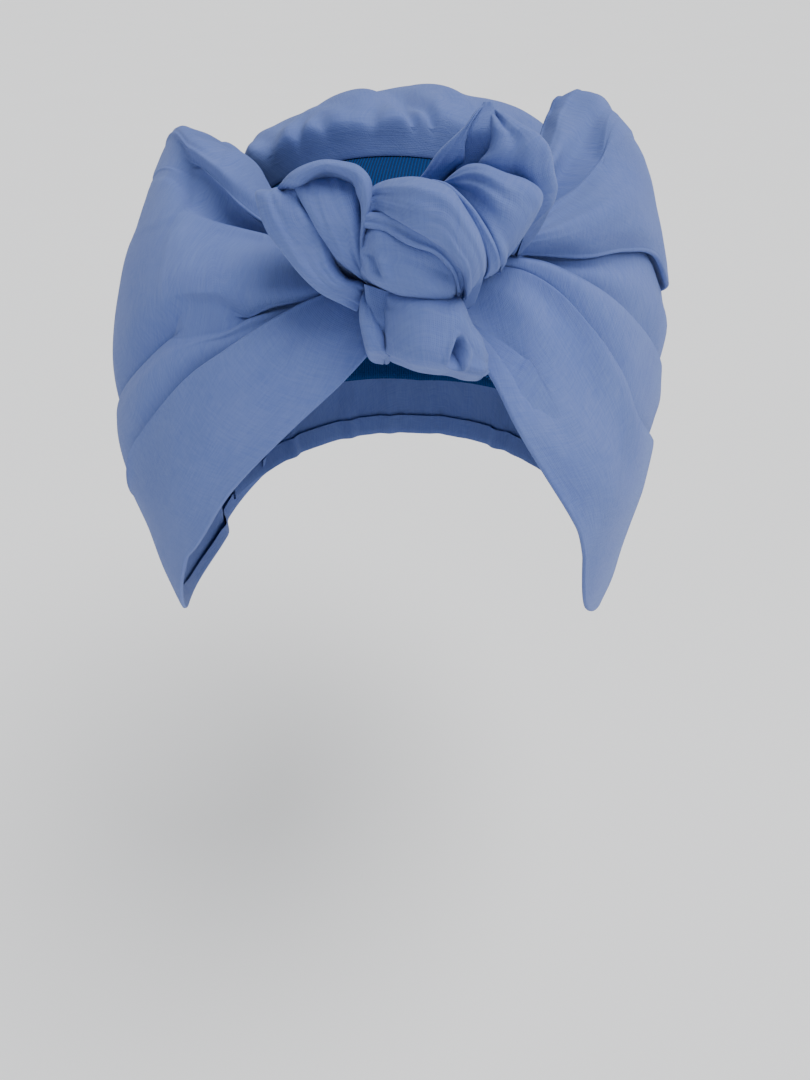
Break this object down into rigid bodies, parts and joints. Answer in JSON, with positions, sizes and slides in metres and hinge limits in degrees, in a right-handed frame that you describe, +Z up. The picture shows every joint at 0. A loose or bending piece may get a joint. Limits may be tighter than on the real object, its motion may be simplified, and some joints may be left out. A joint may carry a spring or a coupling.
{
  "type": "turban headwrap",
  "caption": "Pre-tied cloth turban: ribbed knit inner cap, puffed back panel with a shirred hem, two pleated side wraps and a folded knot in front.",
  "frame": {"origin": "inside top of the inner cap, where the crown of the head meets it", "axes": "+Z up, -Y out of the front where the knot is, +X towards the wearer's left, which is the right of the picture"},
  "size_m": [0.1715, 0.1945, 0.1604],
  "materials": {
    "cloth": "matte woven cotton",
    "knit": "matte ribbed knit"
  },
  "bodies": {
    "root": {"inner_cap": "knit", "back_panel": "cloth", "left_side_wrap": "cloth", "right_side_wrap": "cloth", "knot_left_strand": "cloth", "knot_left_loop": "cloth", "knot_over_band": "cloth", "knot_pleat": "cloth", "knot_under_band": "cloth", "knot_lower_tuck": "cloth", "knot_right_fold": "cloth", "knot_right_loop": "cloth"}
  },
  "joints": []
}
